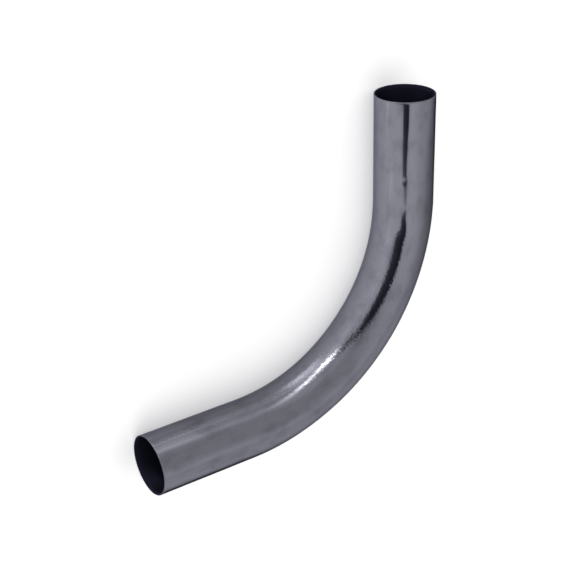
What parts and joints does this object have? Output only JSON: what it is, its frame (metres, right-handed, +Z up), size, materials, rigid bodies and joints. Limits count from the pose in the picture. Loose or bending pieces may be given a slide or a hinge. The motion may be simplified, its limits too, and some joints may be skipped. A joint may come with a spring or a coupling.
{
  "type": "conduit elbow",
  "caption": "Bent steel conduit elbow: a thin-walled round tube turned through a quarter circle, with a straight plain end each way for a coupling or box connector.",
  "frame": {"origin": "middle of the footprint, on the surface that the elbow lies on", "axes": "+Z up, square to the plane of the bend; +Y out of one straight end and -X out of the other"},
  "size_m": [0.278, 0.278, 0.0518],
  "materials": {
    "bare_steel": "satin"
  },
  "bodies": {
    "root": {"bent_tube": "bare_steel"}
  },
  "joints": []
}
